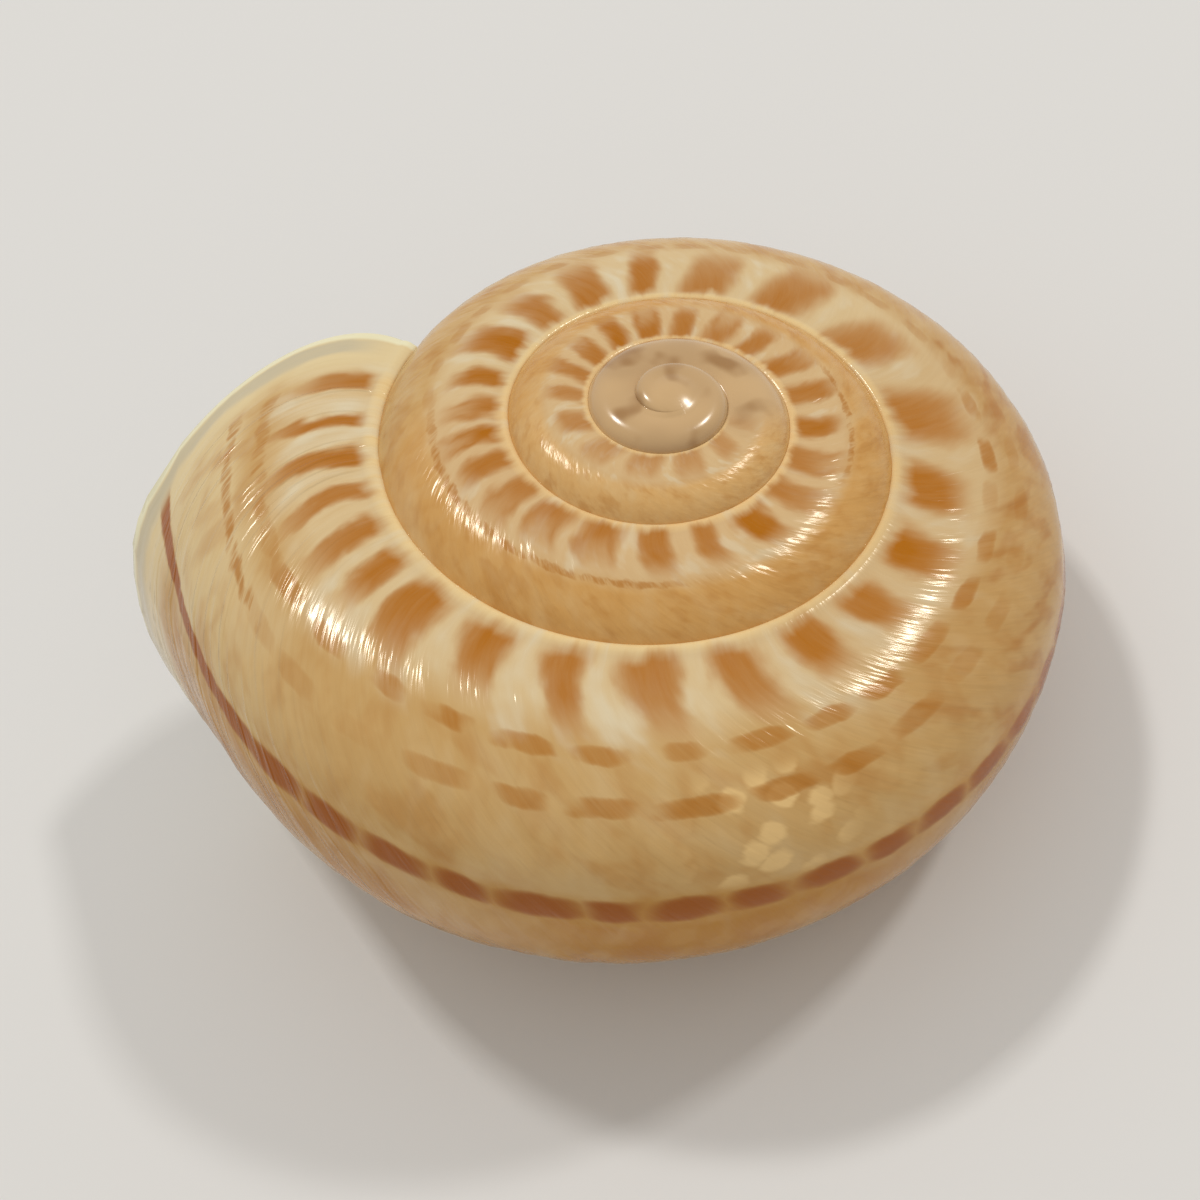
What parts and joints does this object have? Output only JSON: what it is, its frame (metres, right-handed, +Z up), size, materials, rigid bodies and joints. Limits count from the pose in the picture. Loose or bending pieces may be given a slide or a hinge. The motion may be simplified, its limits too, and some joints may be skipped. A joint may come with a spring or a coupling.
{
  "type": "land snail shell",
  "caption": "Empty right-handed land snail shell with a low coiled spire, a rounded last whorl and an open slanting mouth with a turned-back lip.",
  "frame": {"origin": "middle of the shell's bounding box, on the surface the shell rests on", "axes": "+X is the longest way across the shell, with the lip at the -X end and the +Y side of the mouth open; +Y points away from the side where the last whorl is full and round; +Z is up, out of the spire, with the shell resting on its base and the lower edge of its lip"},
  "size_m": [0.026, 0.0212, 0.0115],
  "materials": {
    "shell": "glossy natural shell, cream to golden brown with orange-brown flames and a dashed brown band"
  },
  "bodies": {
    "root": {"shell": "shell"}
  },
  "joints": []
}
